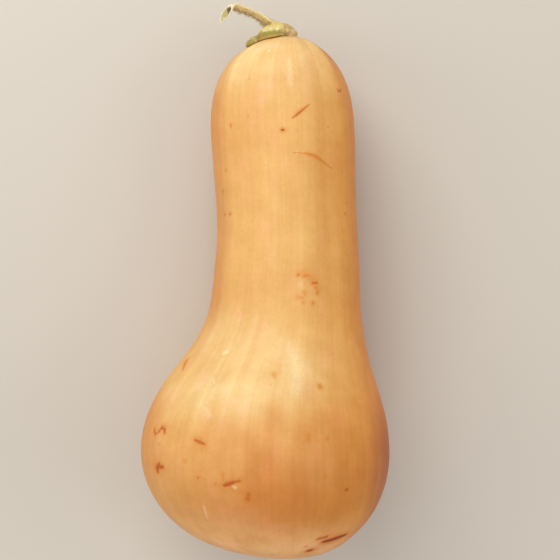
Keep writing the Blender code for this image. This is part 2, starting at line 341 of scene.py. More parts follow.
# How the marks fade into the skin, in half widths, and how the fine ones are cut finer.
MARK_REACH = 3.0
FINE_MARK = 1.5 * MM
FINE_MARGIN = 0.6 * MM
FINE_CUTS = 3
# A brown mark has a fainter rusty stain round it.
STAIN_REACH = 2.4
STAIN_STRENGTH = 0.66
# How deep the browns sink, at what strength in full, and how far the rusts rise.
FULL_SINK_STRENGTH = 0.5
BROWN_SINK = 0.16 * MM
RUST_RISE = 0.10 * MM

HAIR_SEED = 7
HAIR_RADIUS = 0.14 * MM
HAIR_TIP_SHARE = 0.15
HAIR_ROOT_DEPTH = 0.2 * MM
HAIR_LEAN = 0.7
SHORTEST_HAIR = 0.25
# The sections between which the bristles stand, counted from the foot's end.
HAIR_ZONE = (4.0, 11.0)

# The soft lamps: name, place and side in metres, and share of the key light's power.
LAMPS = (
    ("key", (-0.29, 0.72, 0.62), 0.80, 1.0),
    ("overhead", (0.0, 0.0, 1.60), 1.60, 0.68),
    ("fill", (-0.22, -0.85, 0.30), 0.50, 0.26),
    ("right", (0.90, -0.10, 0.80), 0.70, 0.40),
    ("left", (-0.90, -0.05, 0.70), 0.70, 0.26),
)
LAMP_AIM = Vector((0, -0.02, 0.05))
LAMP_COLOUR = (1.0, 0.97, 0.92)
SKY_COLOUR = (1.0, 0.98, 0.95, 1.0)
FLOOR_ROUGHNESS = 0.9

# Fixed colours and tints of the rind, and two places on it in millimetres.
BLOSSOM_BLUSH = (0.86, 0.46, 0.18)
ROSY_TINT = (1.05, 1.01, 1.20)
DEEP_TINT = (0.92, 0.86, 0.76)
LIGHT_TINT = (1.06, 1.10, 1.18)
# Tints of painted shade on the flanks and the bulb's right edge; the right side's colour is partly
# ripe orange.
RIGHT_SHADE_AND_RIPE_COLOUR = (0.80, 0.33, 0.05)
BULB_EDGE_SHADE_TINT = (0.84, 0.64, 0.60)
LEFT_FLANK_SHADE_TINT = (1.0, 0.82, 0.48)
RIGHT_FLANK_SHADE_TINT = (0.96, 0.70, 0.42)
END_FLANK_SHADE_TINT = (0.72, 0.60, 0.50)
LAIN_ON_COLOUR = (0.82, 0.62, 0.33)
DARK_CORK = (0.20, 0.085, 0.025)
PALE_CORK = (0.62, 0.36, 0.13)
CORK_EDGE = (0.13, 0.05, 0.02)
# Colour of the pale flecks and of the painted highlights on the neck's top.
PALE_FLECK_AND_HIGHLIGHT = (0.95, 0.80, 0.52)
SCAR_CORE = (0.18, 0.022, 0.014)
RIPE_PATCH_PLACE = Vector((36.0, -86.0, 116.0))
BLOSSOM_SCAR_PLACE = Vector((13.4, -149.8, 64.5))
RIND_RELIEF = 0.30 * MM
SCAB_RELIEF = 0.35 * MM

# Fixed colours of the stem.
DARK_LUMP = (0.60, 0.38, 0.13)
PALE_LUMP = (0.86, 0.66, 0.33)
TORN_RIM = (0.92, 0.84, 0.62)
DARK_HOLLOW = (0.26, 0.20, 0.06)
PALE_HOLLOW = (0.78, 0.70, 0.34)
# Painted shade of the dark hole at the torn end.
DARK_HOLE_SHADE = (0.07, 0.035, 0.012)
STEM_RELIEF = 0.6 * MM


class SquashFruitSettings(bpy.types.PropertyGroup):
    skin_colour: FloatVectorProperty(
        name="Skin",
        description="Warm tan of most of the rind",
        subtype="COLOR",
        size=3,
        default=(0.800, 0.456, 0.150),
    )
    pale_colour: FloatVectorProperty(
        name="Pale bloom",
        description="Cream of the bleached streaks and the neck's top",
        subtype="COLOR",
        size=3,
        default=(0.850, 0.645, 0.295),
    )
    ripe_colour: FloatVectorProperty(
        name="Ripe orange",
        description="Deeper orange of the bulb's lower half",
        subtype="COLOR",
        size=3,
        default=(0.650, 0.240, 0.050),
    )
    rust_colour: FloatVectorProperty(
        name="Healed scar",
        description="Rusty orange of old scrapes and stains",
        subtype="COLOR",
        size=3,
        default=(0.720, 0.230, 0.018),
    )
    brown_colour: FloatVectorProperty(
        name="Dark scar",
        description="Brown of nicks and spots",
        subtype="COLOR",
        size=3,
        default=(0.500, 0.088, 0.020),
    )
    skin_roughness: FloatProperty(
        name="Waxiness",
        description="Roughness of the waxy rind",
        subtype="FACTOR",
        default=0.44,
        min=0.0,
        max=1.0,
    )
    swell: FloatProperty(
        name="Unevenness",
        description="Depth of the rind's broad swells and dents",
        unit="LENGTH",
        default=0.45 * MM,
        min=0.0,
    )


class SquashStemSettings(bpy.types.PropertyGroup):
    wood_colour: FloatVectorProperty(
        name="Dry wood",
        description="Straw colour of the shaft",
        subtype="COLOR",
        size=3,
        default=(0.740, 0.545, 0.225),
    )
    olive_colour: FloatVectorProperty(
        name="Olive",
        description="Green that is left in the toes and under the knob",
        subtype="COLOR",
        size=3,
        default=(0.310, 0.255, 0.030),
    )
    # On the knob's crest this cream is painted highlights; on the shaft it is pale specks and its
    # edge.
    cream_and_glint_colour: FloatVectorProperty(
        name="Cream",
        description="Bare wood on the knob's crest and the torn rim",
        subtype="COLOR",
        size=3,
        default=(0.830, 0.740, 0.480),
    )
    golden_colour: FloatVectorProperty(
        name="Golden brown",
        description="Golden brown of the foot between the seam and the knob",
        subtype="COLOR",
        size=3,
        default=(0.420, 0.265, 0.050),
    )
    knob_colour: FloatVectorProperty(
        name="Knob",
        description="Pale yellow-green of the knob and of the left toe's crest",
        subtype="COLOR",
        size=3,
        default=(0.700, 0.560, 0.190),
    )
    # On the seam and in the grooves this brown is partly painted shade; on the shaft's lower side
    # it is bark.
    bark_and_crease_shade_colour: FloatVectorProperty(
        name="Bark",
        description="Brown of the seam, the grooves and the rough lower side",
        subtype="COLOR",
        size=3,
        default=(0.300, 0.150, 0.045),
    )
    fibre_depth: FloatProperty(
        name="Fibre depth",
        description="Depth of the grooves between the shaft's fibres",
        unit="LENGTH",
        default=0.30 * MM,
        min=0.0,
    )
    hair_count: IntProperty(
        name="Bristles",
        description="Number of stiff bristles on the shaft's lower side",
        default=640,
        min=0,
    )
    hair_length: FloatProperty(
        name="Bristle length",
        description="Length of the longest bristles",
        unit="LENGTH",
        default=2.4 * MM,
        min=0.0,
    )


class SquashStageSettings(bpy.types.PropertyGroup):
    floor_colour: FloatVectorProperty(
        name="Floor",
        description="Colour of the plain floor",
        subtype="COLOR",
        size=3,
        default=(0.64, 0.60, 0.54),
    )
    floor_side: FloatProperty(
        name="Floor side",
        description="Side of the square floor",
        unit="LENGTH",
        default=6.0,
    )
    sky_strength: FloatProperty(
        name="Room light",
        description="Strength of the even light from all round",
        default=0.33,
    )
    key_power: FloatProperty(
        name="Key light",
        description="Power of the large soft lamp beyond the stem",
        unit="POWER",
        default=6.8,
    )


def smooth_through(places, values, at):
    """The natural cubic spline through values at places, read at the places in at."""
    places = np.asarray(places, float)
    values = np.asarray(values, float)
    gaps = np.diff(places)
    size = len(places)
    system = np.eye(size)
    right = np.zeros_like(values)
    for i in range(1, size - 1):
        system[i, i - 1 : i + 2] = gaps[i - 1], 2 * (gaps[i - 1] + gaps[i]), gaps[i]
        right[i] = 3 * (
            (values[i + 1] - values[i]) / gaps[i] - (values[i] - values[i - 1]) / gaps[i - 1]
        )
    bend = np.linalg.solve(system, right)
    k = np.clip(np.searchsorted(places, at) - 1, 0, size - 2)
    step = (at - places[k])[:, None]
    gap = gaps[k][:, None]
    slope = (values[k + 1] - values[k]) / gap - gap * (2 * bend[k] + bend[k + 1]) / 3
    bent = bend[k] + step * (bend[k + 1] - bend[k]) / (3 * gap)
    return values[k] + step * (slope + step * bent)


def fruit_rounds(shares):
    """(place, radius, sideways, height) in metres at shares of the way along the profile."""
    rounds = np.array(FRUIT_ROUNDS) * MM
    mirrored = rounds * (1, -1, 1, 1)
    line = np.vstack((mirrored[3:0:-1], rounds, mirrored[-2:-5:-1]))
    places = np.concatenate(((0,), np.cumsum(np.hypot(*np.diff(line[:, :2], axis=0).T))))
    first, last = places[3], places[-4]
    return smooth_through(places, line, first + (last - first) * np.asarray(shares))


def blossom_relief(share, radius):
    """How far the skin moves along +Y: the dimple at the blossom end, less its corky scar."""
    if share > BLOSSOM_REACH:
        return 0.0
    dimple = BLOSSOM_DIMPLE_DEPTH * math.exp(-((radius / BLOSSOM_DIMPLE_RADIUS) ** 2))
    scar = BLOSSOM_SCAR_HEIGHT * math.exp(-((radius / BLOSSOM_SCAR_RADIUS) ** 4))
    return dimple - scar


def grounded(height):
    """The height, turned smoothly into a flat spot at zero where it would be below it."""
    if height > GROUND_SOFTNESS:
        return height
    return max(0.0, height + GROUND_SOFTNESS) ** 2 / (4 * GROUND_SOFTNESS)


def skin_radius(share, around, angle, swell):
    """The round's radius with its flutes, soft lengthwise ripples and broad swells."""
    place, radius, _, height = around
    depth = FLUTE_DEPTH_BLOSSOM_END + (FLUTE_DEPTH_STEM_END - FLUTE_DEPTH_BLOSSOM_END) * share
    fade = min(1.0, radius / FLUTE_FADE_RADIUS)
    flute = depth * math.cos(FLUTES * angle)
    turn = Vector((math.cos(angle), math.sin(angle), 0)) * RIPPLES_AROUND
    ripple = RIPPLE_DEPTH * noise.noise(turn + UPWARD * share * RIPPLES_ALONG)
    spot = Vector((radius * math.cos(angle), place, height + radius * math.sin(angle)))
    broad = swell * noise.noise(spot / SWELL_LENGTH)
    return radius + (flute + ripple + broad) * fade


def skin_point(share, around, angle, swell=0.0):
    """A point of the skin on the round around, at an angle from +X towards +Z."""
    place, radius, sideways, height = around
    r = skin_radius(share, around, angle, swell)
    return Vector(
        (
            sideways + r * math.cos(angle),
            place + blossom_relief(share, radius),
            grounded(height + r * math.sin(angle)),
        )
    )


def lofted(sides, rings, wayposts, first_tip=None, last_tip=None):
    """A closed mesh through rings, each a function from angle to point.

    One circle is extruded from ring to ring, and the open ends are filled to their middles.
    Each point keeps its turn (cosine, sine) and its ring's waypost in the "grain" layer.
    """
    bm = bmesh.new()
    angle = bm.verts.layers.float.new("angle")
    grain = bm.verts.layers.float_vector.new("grain")
    loop = bmesh.ops.create_circle(bm, segments=sides, radius=1.0)["verts"]
    edges = bm.edges[:]
    for vert in loop:
        vert[angle] = math.atan2(vert.co.y, vert.co.x)
    for number, (ring, waypost) in enumerate(zip(rings, wayposts)):
        if number:
            made = bmesh.ops.extrude_edge_only(bm, edges=edges)["geom"]
            loop = [part for part in made if isinstance(part, bmesh.types.BMVert)]
            fresh = set(loop)
            edges = [
                part
                for part in made
                if isinstance(part, bmesh.types.BMEdge) and fresh.issuperset(part.verts)
            ]
        for vert in loop:
            turn = vert[angle]
            vert.co = ring(turn)
            vert[grain] = Vector((math.cos(turn), math.sin(turn), waypost))
    holes = [edge for edge in bm.edges if edge.is_boundary]
    caps = bmesh.ops.holes_fill(bm, edges=holes, sides=0)["faces"]
    middles = bmesh.ops.poke(bm, faces=caps)["verts"]
    for tip, waypost in ((first_tip, wayposts[0]), (last_tip, wayposts[-1])):
        if tip is not None:
            middle = min(middles, key=lambda vert: (vert.co - tip).length)
            middle.co = tip
            middle[grain] = Vector((0, 0, waypost))
    bmesh.ops.recalc_face_normals(bm, faces=bm.faces)
    return bm


def box_of(points):
    """Lowest and highest corner of some points."""
    table = np.array(points)
    return Vector(table.min(axis=0)), Vector(table.max(axis=0))


def fitted(bm, low, high):
    """Moves and stretches the mesh so that its box is the one between low and high."""
    have_low, have_high = box_of([vert.co for vert in bm.verts])
    stretch = [(high[i] - low[i]) / (have_high[i] - have_low[i]) for i in range(3)]
    bmesh.ops.translate(bm, verts=bm.verts, vec=-have_low)
    bmesh.ops.scale(bm, verts=bm.verts, vec=stretch)
    bmesh.ops.translate(bm, verts=bm.verts, vec=low)


def surface_of(bm):
    """The mesh's surface, for casting rays onto it."""
    return BVHTree.FromBMesh(bm)


def seen_at(surface, x, y):
    """The point of the surface that the camera sees at pixel x, y of the picture."""
    per_pixel = SENSOR / LENS / PICTURE_SIDE
    half = PICTURE_SIDE / 2
    ray = Vector(((x - half) * per_pixel, (half - y) * per_pixel, -1)).normalized()
    hit, *_ = surface.ray_cast(CAMERA_PLACE, ray)
    if hit is None:
        raise ValueError(f"the camera sees no skin at {x}, {y}")
    return hit


def skin_at(surface, share, degrees):
    """The point of the skin a share of the way along it, at some degrees round.

    The rounds are first moved to where the fruit's solid has its left side and its lower end.
    """
    place, radius, sideways, height = fruit_rounds((share,))[0]
    low, _ = box_of([vert.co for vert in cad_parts["fruit"].data.vertices])
    left_side = min(fruit_rounds(np.linspace(0, 1, PROFILE_STEPS)) @ (0, -1, 1, 0))
    sideways += low.x - left_side
    place += low.y - FRUIT_ROUNDS[0][0] * MM
    turn = math.radians(degrees)
    centre = Vector((sideways, place, height))
    outside = centre + Vector((math.cos(turn), 0, math.sin(turn))) * 2 * radius
    hit, *_ = surface.ray_cast(outside, centre - outside)
    if hit is None:
        raise ValueError(f"no skin at {share}, {degrees}")
    return hit


def cast_strokes(surface, strokes, find):
    """Each stroke as its strength and a list of (point, half width in metres)."""
    return [
        (strength, [(find(surface, a, b), width * MM) for a, b, width in run])
        for strength, run in strokes
    ]


def strongest(points, strokes, reach):
    """The strongest of the strokes' fields at each point."""
    return np.max([stroke_field(points, stroke, reach) for stroke in strokes], axis=0)


def stroke_field(points, stroke, reach):
    """The stroke's strength on its line, falling evenly to 0 at reach times its half width."""
    strength, run = stroke
    field = np.zeros(len(points))
    ends = list(zip(run, run[1:])) or [(run[0], run[0])]
    for (start, wide_start), (end, wide_end) in ends:
        way = np.array(end - start)
        offset = points - np.array(start)
        along = np.clip(offset @ way / max(float(way @ way), SMALLEST_AREA), 0, 1)
        away = np.linalg.norm(offset - along[:, None] * way, axis=1)
        width = wide_start + (wide_end - wide_start) * along
        field = np.maximum(field, 1 - away / (reach * width))
    return field * strength


def refined(bm, strokes):
    """Cuts the faces near the fine strokes finer, so that small marks have their own faces."""
    tree = KDTree(len(bm.faces))
    bm.faces.ensure_lookup_table()
    for face in bm.faces:
        tree.insert(face.calc_center_median(), face.index)
    tree.balance()
    near = set()
    for _, run in strokes:
        if max(width for _, width in run) > FINE_MARK:
            continue
        for (start, width), (end, _) in zip(run, run[1:] + run[-1:]):
            steps = 1 + int((end - start).length / MM)
            for step in range(steps + 1):
                spot = start.lerp(end, step / steps)
                found = tree.find_range(spot, width * MARK_REACH + FINE_MARGIN)
                near.update(index for _, index, _ in found)
    edges = {edge for index in near for edge in bm.faces[index].edges}
    bmesh.ops.subdivide_edges(bm, edges=list(edges), cuts=FINE_CUTS, use_grid_fill=True)


def marked(bm, brown, rust, pale):
    """Writes the marks' fields to the "marks" layer and sinks or lifts the skin at them.

    The way the unmarked skin faces goes to the "facing" layer.
    """
    layer = bm.verts.layers.float_vector.new("marks")
    facing = bm.verts.layers.float_vector.new("facing")
    points = np.array([vert.co for vert in bm.verts])
    browns = strongest(points, brown, MARK_REACH)
    stains = strongest(points, brown, MARK_REACH * STAIN_REACH) * STAIN_STRENGTH
    rusts = np.maximum(strongest(points, rust, MARK_REACH), stains)
    flecks_and_highlights = strongest(points, pale, MARK_REACH)
    bm.normal_update()
    lifts = RUST_RISE * rusts**2 - BROWN_SINK * np.clip(browns / FULL_SINK_STRENGTH, 0, 1)
    for vert, a, b, c, lift in zip(bm.verts, browns, rusts, flecks_and_highlights, lifts):
        vert[layer] = Vector((a, b, c))
        vert[facing] = vert.normal
        vert.co += vert.normal * lift
        vert.co.z = max(0.0, vert.co.z)


def piece(name, bm, finish, node=None):
    """Makes the mesh an object of the scene that rides with the squash."""
    mesh = bpy.data.meshes.new(name)
    bm.to_mesh(mesh)
    bm.free()
    mesh.materials.append(finish)
    mesh.shade_smooth()
    obj = bpy.data.objects.new(name, mesh)
    bpy.context.scene.collection.objects.link(obj)
    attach(obj, "root")
    if node:
        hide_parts(node)
    return obj


class Finish:
    """A material of one Principled shader, and short calls that add the nodes before it."""

    def __init__(self, name, roughness, **constants):
        self.material = bpy.data.materials.new(name)
        self.material.use_nodes = True
        self.tree = self.material.node_tree
        self.shader = self.tree.nodes["Principled BSDF"]
        self.shader.inputs["Roughness"].default_value = roughness
        for socket, value in constants.items():
            self.shader.inputs[socket.replace("_", " ")].default_value = value

    def feed(self, socket, source):
        """Links a node's output to a socket, or sets the socket to a plain value."""
        if isinstance(source, bpy.types.NodeSocket):
            self.tree.links.new(source, socket)
        elif socket.type == "RGBA":
            socket.default_value = (*source, 1.0)
        else:
            socket.default_value = source

    def node(self, kind, inputs, output=0, **settings):
        made = self.tree.nodes.new("ShaderNode" + kind)
        for name, value in settings.items():
            setattr(made, name, value)
        for key, value in inputs.items():
            self.feed(made.inputs[key], value)
        return made.outputs[output]

    def position(self):
        """Object coordinates in millimetres."""
        place = self.node("TexCoord", {}, "Object")
        return self.node("VectorMath", {0: place, 3: 1 / MM}, operation="SCALE")

    def split(self, vector):
        made = self.tree.nodes.new("ShaderNodeSeparateXYZ")
        self.feed(made.inputs[0], vector)
        return made.outputs

    def layer(self, name):
        return self.node("Attribute", {}, "Vector", attribute_name=name)

    def sum(self, a, b):
        return self.node("Math", {0: a, 1: b}, operation="ADD")

    def times(self, a, b):
        return self.node("Math", {0: a, 1: b}, operation="MULTIPLY")

    def most(self, a, b):
        return self.node("Math", {0: a, 1: b}, operation="MAXIMUM")

    def swing(self, value, size):
        """The value less a half, times size, so that a noise swings evenly about zero."""
        return self.times(self.sum(value, -0.5), size)

    def away(self, place, centre):
        """How far the place is from a fixed centre."""
        return self.node("VectorMath", {0: place, 1: centre}, "Value", operation="DISTANCE")

    def stretched(self, vector, x, y, z):
        return self.node("VectorMath", {0: vector, 1: Vector((x, y, z))}, operation="MULTIPLY")

    def noise(self, vector, scale, detail=2.0, roughness=0.5, distortion=0.0):
        inputs = {
            "Vector": vector,
            "Scale": scale,
            "Detail": detail,
            "Roughness": roughness,
            "Distortion": distortion,
        }
        return self.node("TexNoise", inputs, "Fac")

    def between(self, value, low, high, to_low=0.0, to_high=1.0):
        """The value's place between low and high, eased, as a number from to_low to to_high."""
        inputs = {
            "Value": value,
            "From Min": low,
            "From Max": high,
            "To Min": to_low,
            "To Max": to_high,
        }
        return self.node("MapRange", inputs, interpolation_type="SMOOTHSTEP")

    def band(self, value, start, full, ease, end):
        """1 where the value is between full and ease, falling to 0 at start and at end."""
        return self.times(self.between(value, start, full), self.between(value, end, ease))

    def mix(self, share, under, over, blend="MIX"):
        inputs = {"Factor": share, 6: under, 7: over}
        return self.node("Mix", inputs, 2, data_type="RGBA", blend_type=blend)

    def bumped(self, height, distance, strength=1.0, under=None):
        inputs = {"Height": height, "Distance": distance, "Strength": strength}
        if under is not None:
            inputs["Normal"] = under
        return self.node("Bump", inputs, "Normal")


def rind_finish(settings):
    """Waxy tan rind with lengthwise streaks, a ripe orange bulb, scar marks and pores, painted
    shade on the flanks and painted highlights on the neck's top.
    """
    f = Finish(
        "rind",
        settings.skin_roughness,
        Specular_IOR_Level=0.26,
        Subsurface_Weight=0.10,
        Subsurface_Radius=(1.0, 0.45, 0.2),
        Subsurface_Scale=2.5 * MM,
    )
    place = f.position()
    grain = f.layer("grain")
    streaks = f.noise(f.stretched(grain, 1, 1, 0.30), 8.0, 2.0, 0.5)
    fine_streaks = f.noise(f.stretched(grain, 1, 1, 0.12), 30.0, 2.0, 0.6)
    blotches = f.noise(place, 0.085, 3.0, 0.5)
    veils = f.noise(f.stretched(place, 1, 0.6, 1), 0.050, 1.5, 0.45)
    mottle = f.noise(place, 0.55, 4.0, 0.62)

    colour = ripening(f, settings, place, grain, streaks, veils)
    blush = f.times(
        f.between(f.split(place)[1], -120.0, -140.0), f.between(blotches, 0.30, 0.60, 0.5, 0.95)
    )
    colour = f.mix(blush, colour, BLOSSOM_BLUSH)
    # Painted shade on the flanks, partly ripe orange, and faint pale lines.
    colour = flank_ripeness_and_shade(f, settings, place, f.sum(fine_streaks, f.swing(veils, 0.5)), colour)

    # Small changes of tone: rosy veils, blotches, streaks and a fine mottling.
    rosy = f.between(f.noise(f.stretched(place, 1, 0.35, 1), 0.11, 3.0, 0.6), 0.48, 0.68, 0.0, 0.8)
    colour = f.mix(rosy, colour, ROSY_TINT, "MULTIPLY")
    tone = f.sum(f.times(blotches, 0.26), f.times(fine_streaks, 0.12))
    tone = f.sum(tone, f.times(mottle, 0.14))
    tone = f.sum(tone, f.times(streaks, 0.11))
    tone = f.mix(f.between(tone, 0.19, 0.44), DEEP_TINT, LIGHT_TINT)
    colour = f.mix(1.0, colour, tone, "MULTIPLY")

    # The patch that the squash lies on.
    lain_on = f.between(f.split(place)[2], 9.0, 1.0)
    lain_on = f.times(lain_on, f.between(blotches, 0.3, 0.55, 0.5, 1.0))
    colour = f.mix(f.times(lain_on, 0.6), colour, LAIN_ON_COLOUR)

    cork, colour = blossom_cork(f, settings, place, mottle, colour)
    browned, rusted, colour = scars_and_highlights(f, settings, place, colour)
    f.feed(f.shader.inputs["Base Color"], pores(f, settings, place, colour))

    rough = f.sum(f.between(mottle, 0.3, 0.7, -0.03, 0.05), settings.skin_roughness)
    rough = f.sum(rough, f.times(f.most(browned, cork), 0.35))
    f.feed(f.shader.inputs["Roughness"], rough)
    relief = f.sum(f.times(blotches, 0.5), f.times(fine_streaks, 0.25))
    relief = f.sum(relief, f.times(mottle, 0.18))
    normal = f.bumped(relief, RIND_RELIEF, 0.5)
    scabs = f.times(f.most(f.most(browned, rusted), cork), f.noise(place, 2.4, 3.0, 0.6))
    normal = f.bumped(scabs, SCAB_RELIEF, 0.8, normal)
    f.feed(f.shader.inputs["Normal"], normal)
    return f.material


def ripening(f, settings, place, grain, streaks, veils):
    """Tan, bleached on the neck's top and the bulb's shoulder, ripe orange low on the bulb and on
    the side that faces left, where it is partly painted shade.
    """
    ripe = settings.ripe_colour
    x, y, _ = f.split(place)
    clouds = f.noise(place, 0.022, 3.0, 0.5)
    broad_streaks = f.noise(f.stretched(grain, 1, 1, 0.8), 3.0, 3.0, 0.6)
    patchy = f.sum(f.times(streaks, 0.4), f.times(broad_streaks, 0.6))
    patchy = f.sum(patchy, f.swing(veils, 1.2))

    neck_top = f.between(y, 78.0, 122.0)
    slanted = f.sum(y, f.times(x, 0.2))
    shoulder = f.times(f.between(slanted, -14.0, -44.0), f.between(y, -84.0, -56.0))
    shoulder = f.times(shoulder, f.between(x, 44.0, -14.0, 0.30, 0.85))
    paleness = f.times(f.most(neck_top, shoulder), f.between(patchy, 0.20, 0.85, 0.48, 1.0))
    paleness = f.sum(paleness, f.between(streaks, 0.50, 0.78, 0.0, 0.08))
    colour = f.mix(paleness, settings.skin_colour, settings.pale_colour)

    # The ripe zone's upper edge is drawn out in soft fingers, and it is weaker on the left.
    ripe_side = f.between(f.sum(x, f.times(clouds, 30.0)), -60.0, 30.0, 0.28, 1.0)
    ripeness = f.times(f.between(f.sum(y, f.swing(patchy, 26.0)), -52.0, -114.0), ripe_side)
    ripeness = f.times(ripeness, f.between(y, -140.0, -112.0, 0.55, 1.0))
    # Painted shade, partly ripeness: the side that faces left turns deeper orange.
    left = f.times(f.between(f.split(f.layer("facing"))[0], -0.6, -1.0), 0.45)
    side = f.sum(left, f.between(clouds, 0.42, 0.72, 0.0, 0.22))
    colour = f.mix(f.most(ripeness, side), colour, ripe)
    from_patch = f.sum(f.away(place, RIPE_PATCH_PLACE), f.swing(patchy, 20.0))
    return f.mix(f.times(f.between(from_patch, 44.0, 6.0), 0.35), colour, ripe)


def flank_ripeness_and_shade(f, settings, place, fine_lines, colour):
    """Painted shade: deeper and darker towards the flanks and the ends, more so on the right,
    where it is partly ripe orange; and faint pale lines on the bulb.
    """
    y = f.split(place)[1]
    facing_x, _, facing_z = f.split(f.layer("facing"))
    # Painted shade, partly ripeness: the right side turns deeper orange.
    right = f.times(f.between(facing_x, 0.25, 1.0), 0.92)
    colour = f.mix(right, colour, RIGHT_SHADE_AND_RIPE_COLOUR)
    # The bulb's right is riper, partly as painted shade.
    bulb_right = f.times(f.between(facing_x, 0.40, 1.0), f.between(y, -60.0, -100.0))
    bulb_right = f.times(bulb_right, 0.7)
    colour = f.mix(bulb_right, colour, settings.ripe_colour)
    # Painted shade: a darker narrow edge along the bulb's right.
    bulb_edge_shade = f.times(f.between(facing_x, 0.70, 0.98), f.between(y, -50.0, -90.0))
    colour = f.mix(bulb_edge_shade, colour, BULB_EDGE_SHADE_TINT, "MULTIPLY")
    # Painted shade: darker and more orange where the skin faces sideways or down, most at the
    # ends.
    flank_shade = f.between(facing_z, 0.58, 0.0)
    flank_shade_tint = f.mix(f.between(facing_x, 0.0, 0.6), LEFT_FLANK_SHADE_TINT, RIGHT_FLANK_SHADE_TINT)
    colour = f.mix(flank_shade, colour, flank_shade_tint, "MULTIPLY")
    ends = f.most(f.between(y, 104.0, 122.0), f.between(y, -116.0, -140.0))
    ends = f.times(flank_shade, f.most(ends, bulb_right))
    colour = f.mix(ends, colour, END_FLANK_SHADE_TINT, "MULTIPLY")
    lined = f.times(f.between(facing_x, 0.60, 0.90), f.between(y, -20.0, -60.0))
    lined = f.times(lined, f.between(y, -136.0, -116.0))
    lined = f.times(lined, f.between(fine_lines, 0.54, 0.72))
    return f.mix(f.times(lined, 0.11), colour, settings.pale_colour)


def blossom_cork(f, settings, place, mottle, colour):
    """The corky scar where the blossom was, its dark edge and its rusty halo."""
    edge = f.sum(f.away(place, BLOSSOM_SCAR_PLACE), f.swing(mottle, 3.0))
    colour = f.mix(f.times(f.between(edge, 13.0, 4.5), 0.45), colour, settings.rust_colour)
    cork = f.between(edge, 5.2, 4.2)
    crumbs = f.between(f.noise(place, 1.3, 4.0, 0.7), 0.3, 0.7)
    colour = f.mix(cork, colour, f.mix(crumbs, DARK_CORK, PALE_CORK))
    return cork, f.mix(f.times(f.band(edge, 3.7, 4.6, 4.9, 5.8), 0.8), colour, CORK_EDGE)


def scars_and_highlights(f, settings, place, colour):
    """The marks: pale flecks and painted highlights, then rust, then brown with darker cores, all
    with ragged edges.
    """
    browns, rusts, flecks_and_highlights = f.split(f.layer("marks"))
    ragged = f.swing(f.noise(place, 1.1, 4.0, 0.7), 0.70)
    rusted = f.times(f.between(f.sum(rusts, ragged), 0.10, 0.86), 0.85)
    browned = f.times(f.between(f.sum(browns, ragged), 0.26, 0.94), 0.88)
    # Pale flecks, and the painted highlights on the neck's top.
    fleck_and_highlight = f.times(f.between(f.sum(flecks_and_highlights, ragged), 0.26, 0.95), 0.55)
    colour = f.mix(fleck_and_highlight, colour, PALE_FLECK_AND_HIGHLIGHT)
    colour = f.mix(rusted, colour, settings.rust_colour)
    colour = f.mix(browned, colour, settings.brown_colour)
    core = f.times(f.between(browns, 0.85, 1.25), 0.8)
    return browned, rusted, f.mix(core, colour, SCAR_CORE)


def pores(f, settings, place, colour):
    """Sparse little rusty dots, in a few of many cells."""
    cells = {"Vector": place, "Scale": 0.30, "Randomness": 1.0}
    distance = f.node("TexVoronoi", cells, "Distance")
    lot = f.split(f.node("TexVoronoi", cells, "Color"))[0]
    dot = f.times(f.between(distance, 0.14, 0.06), f.between(lot, 0.84, 0.90))
    return f.mix(f.times(dot, 0.40), colour, settings.rust_colour)


def toe_crest(angle):
    """1 on the middle of each of the stem's five lobes, 0 in the grooves between them."""
    return 0.5 + 0.5 * math.cos(STEM_LOBES * (angle - LOBE_PHASE))


def lobed(angle, depth):
    """Radius share of a round with the stem's lobes."""
    return 1 + depth * (toe_crest(angle) - LOBE_MEAN)


class Seat:
    """Where the stem meets the fruit, and how to lay a point onto the fruit's skin there."""

    REACH = 40 * MM

    def __init__(self, skin):
        self.skin = skin
        above = Vector((SEAT_X, CAD_BOX[1][1] + self.REACH, SEAT_Z))
        self.point, self.facing, *_ = self.skin.ray_cast(above, Vector((0, -1, 0)))

    def laid(self, point, lift):
        """The point moved along the seat's facing onto the skin, and lifted off it."""
        hit, *_ = self.skin.ray_cast(point + self.facing * self.REACH, -self.facing)
        return hit + self.facing * lift


def foot_ring(seat, section):
    """An outline of the foot, laid on the fruit, as a function of the angle from the left."""
    lift, left, right, half_up, toes = section
    up = (UPWARD - seat.facing * UPWARD.dot(seat.facing)).normalized()
    across = up.cross(seat.facing)
    middle = seat.point - across * (left + right) / 2 * MM
    half_across = (right - left) / 2

    def ring(angle):
        offset = across * half_across * math.cos(angle) + up * half_up * math.sin(angle)
        to_left = FOOT_LIFT_TO_LEFT * math.cos(angle)
        at_toes = FOOT_LIFT_AT_TOES * (toe_crest(angle) - 0.5)
        thickness = max(0.0, lift * MM - FOOT_BASE) * (1 + to_left + at_toes)
        turn = Vector((math.cos(angle), math.sin(angle), lift * FOOT_WRINKLES_UP))
        ragged = 1 - FOOT_WRINKLE_DEPTH * (0.5 + 0.5 * noise.noise(turn * FOOT_WRINKLES))
        return seat.laid(middle + offset * lobed(angle, toes) * MM * ragged, SEAT_GAP + thickness)

    return ring


def shaft_ring(seat, section, inside=1.0, sink=0.0):
    """An outline of the knob or the shaft as a function of the angle.

    Drawn in and sunk, it makes the hollow of the torn end, which is deepest on the right.
    """
    left_x, left_y, right_x, right_y, height, half_height, lean, lobes, pointed = section
    left = Vector((left_x, left_y, height)) * MM
    right = Vector((right_x, right_y, height)) * MM
    across = (left - right) / 2
    ahead = across.cross(UPWARD).normalized()
    lean = math.radians(lean)
    up = UPWARD * math.cos(lean) - ahead * math.sin(lean)
    centre = seat.point + (left + right) / 2
    inward = up.cross(across).normalized() * sink

    def ring(angle):
        reach = math.cos(angle)
        rise = math.sin(angle) * (1 - pointed * max(0.0, reach)) * half_height * MM
        offset = (across * reach + up * rise) * lobed(angle, lobes) * inside
        return centre + offset + inward * (1 - reach * inside) / 2

    return ring


